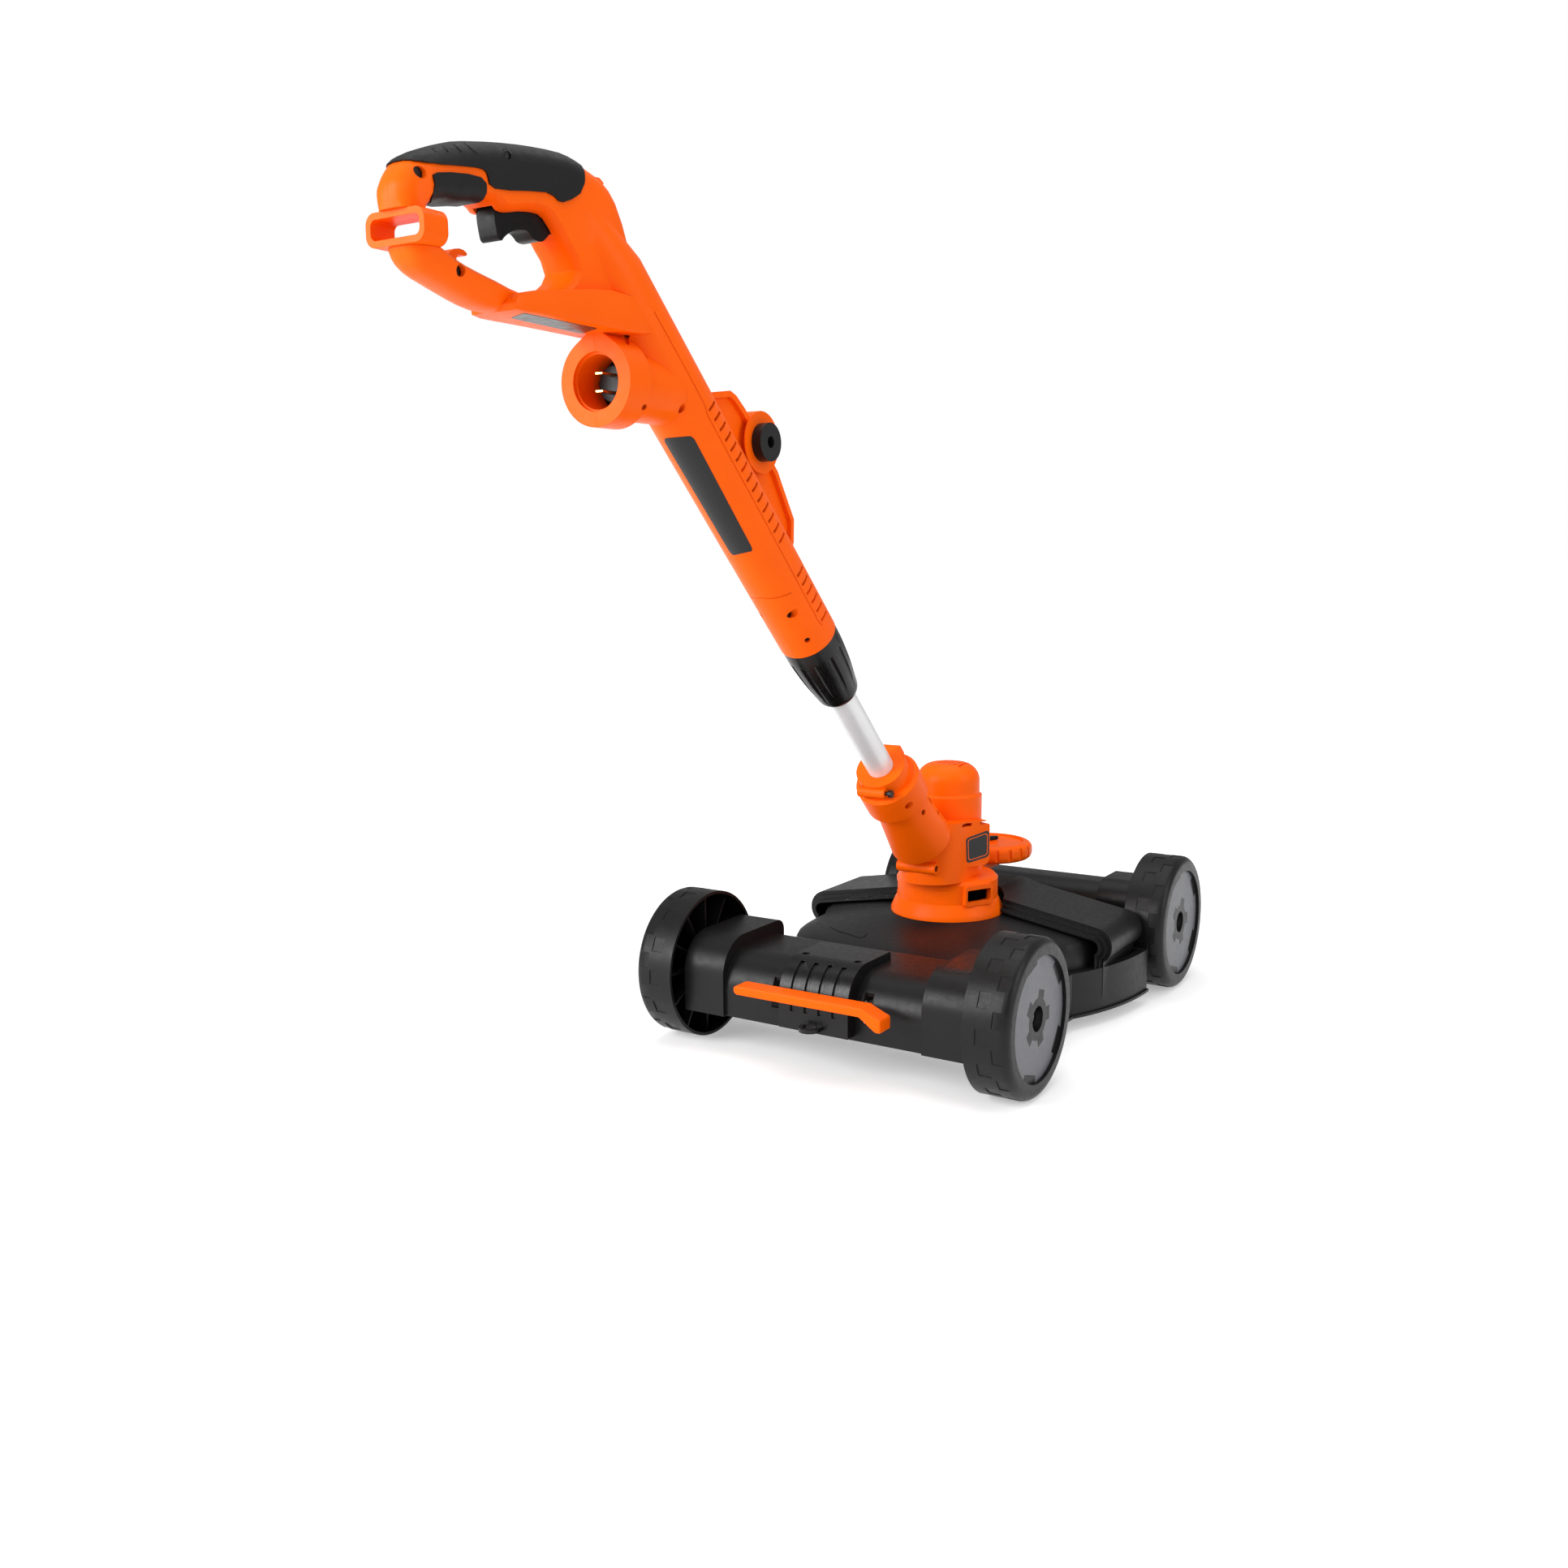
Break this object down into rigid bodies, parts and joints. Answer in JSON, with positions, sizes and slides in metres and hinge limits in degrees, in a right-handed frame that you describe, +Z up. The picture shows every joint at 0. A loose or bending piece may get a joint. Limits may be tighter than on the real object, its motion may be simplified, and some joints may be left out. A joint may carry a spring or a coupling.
{
  "type": "wheeled string trimmer",
  "caption": "Corded string trimmer seated in a wheeled cutting deck, with a telescopic tube, a closed trigger handle, a spinning line head and a release pedal.",
  "frame": {"origin": "on the ground under the middle of the whole machine", "axes": "+X to the machine's right, +Y forward in the direction of mowing, +Z up"},
  "size_m": [0.4122, 1.0446, 0.7734],
  "materials": {
    "orange_plastic": "smooth moulded",
    "black_plastic": "fine moulded grain",
    "dark_plastic": "satin moulded",
    "grey_plastic": "satin moulded",
    "soft_grip": "soft overmould",
    "steel": "plain",
    "tube_metal": "satin",
    "brass": "plain",
    "rotor": "wound rotor",
    "line": "nylon line"
  },
  "bodies": {
    "deck": {"deck_shell": "black_plastic", "rear_axle": "steel", "front_axle": "steel", "axle_push_nuts": "steel", "latch_cover": "dark_plastic", "latch_cover_screws": "steel", "pedal_pin": "steel", "pedal_spring": "steel", "motor_housing_left": "orange_plastic", "motor_housing_right": "orange_plastic", "motor_housing_screws": "steel", "motor_can": "steel", "upper_bearing": "steel", "lower_bearing": "steel", "guard": "black_plastic", "line_cutter": "steel", "edge_bracket": "orange_plastic", "edge_clip": "black_plastic", "tube": "tube_metal"},
    "wheel_rear_left_body": {"wheel_rear_left": "black_plastic", "hub_cap_rear_left": "grey_plastic"},
    "wheel_rear_right_body": {"wheel_rear_right": "black_plastic", "hub_cap_rear_right": "grey_plastic"},
    "wheel_front_left_body": {"wheel_front_left": "black_plastic", "hub_cap_front_left": "grey_plastic"},
    "wheel_front_right_body": {"wheel_front_right": "black_plastic", "hub_cap_front_right": "grey_plastic"},
    "pedal_body": {"pedal": "orange_plastic", "latch_lever": "dark_plastic"},
    "cutting_head": {"armature": "rotor", "fan": "dark_plastic", "spool_housing": "black_plastic", "spool": "dark_plastic", "spool_spring": "steel", "spool_cap": "black_plastic", "line_winding": "line", "cutting_line": "line", "line_eyelet": "steel"},
    "edge_wheel_body": {"edge_wheel": "orange_plastic"},
    "sleeve_body": {"collet_sleeve": "dark_plastic"},
    "handle_body": {"handle_left": "orange_plastic", "handle_right": "orange_plastic", "handle_screws": "steel", "grip_pad": "soft_grip", "grip_insert": "soft_grip", "cord_ring": "orange_plastic", "aux_bush": "black_plastic", "inlet_holder": "black_plastic", "inlet_blades": "brass", "trigger_pin": "steel", "trigger_spring": "steel", "switch_body": "black_plastic"},
    "collet_body": {"collet_nut": "black_plastic"},
    "trigger_body": {"trigger": "black_plastic"}
  },
  "joints": [
    {"name": "wheel_rear_left_roll", "type": "hinge", "parent": "deck", "child": "wheel_rear_left_body", "pos_m": [0, 0.03174, 0.076], "axis": [1, 0, 0], "continuous": true},
    {"name": "wheel_rear_right_roll", "type": "hinge", "parent": "deck", "child": "wheel_rear_right_body", "pos_m": [0, 0.03174, 0.076], "axis": [1, 0, 0], "continuous": true},
    {"name": "wheel_front_left_roll", "type": "hinge", "parent": "deck", "child": "wheel_front_left_body", "pos_m": [0, 0.44634, 0.076], "axis": [1, 0, 0], "continuous": true},
    {"name": "wheel_front_right_roll", "type": "hinge", "parent": "deck", "child": "wheel_front_right_body", "pos_m": [0, 0.44634, 0.076], "axis": [1, 0, 0], "continuous": true},
    {"name": "pedal_press", "type": "hinge", "parent": "deck", "child": "pedal_body", "pos_m": [0, 0.00304, 0.068], "axis": [1, 0, 0], "range_deg": [0, 9], "stiffness_Nm_per_rad": 1.5, "springref_deg": -8.59},
    {"name": "head_spin", "type": "hinge", "parent": "deck", "child": "cutting_head", "pos_m": [0, 0.25404, 0.054], "axis": [0, 0, 1], "continuous": true},
    {"name": "edge_wheel_spin", "type": "hinge", "parent": "deck", "child": "edge_wheel_body", "pos_m": [0, 0.36104, 0.147], "axis": [0, 0, 1], "continuous": true},
    {"name": "handle_height", "type": "slide", "parent": "deck", "child": "sleeve_body", "axis": [0, -0.7071, 0.7071], "range_m": [0, 0.2]},
    {"name": "handle_twist", "type": "hinge", "parent": "sleeve_body", "child": "handle_body", "pos_m": [0, 0.01961, 0.36693], "axis": [0, -0.7071, 0.7071], "range_deg": [0, 180]},
    {"name": "collet_turn", "type": "hinge", "parent": "handle_body", "child": "collet_body", "pos_m": [0, 0.01961, 0.36693], "axis": [0, -0.7071, 0.7071], "range_deg": [0, 90]},
    {"name": "trigger_pull", "type": "hinge", "parent": "handle_body", "child": "trigger_body", "pos_m": [0, -0.37496, 0.731], "axis": [-1, 0, 0], "range_deg": [0, 6], "stiffness_Nm_per_rad": 0.8, "springref_deg": -8.59, "deforming": ["trigger_spring"]}
  ]
}
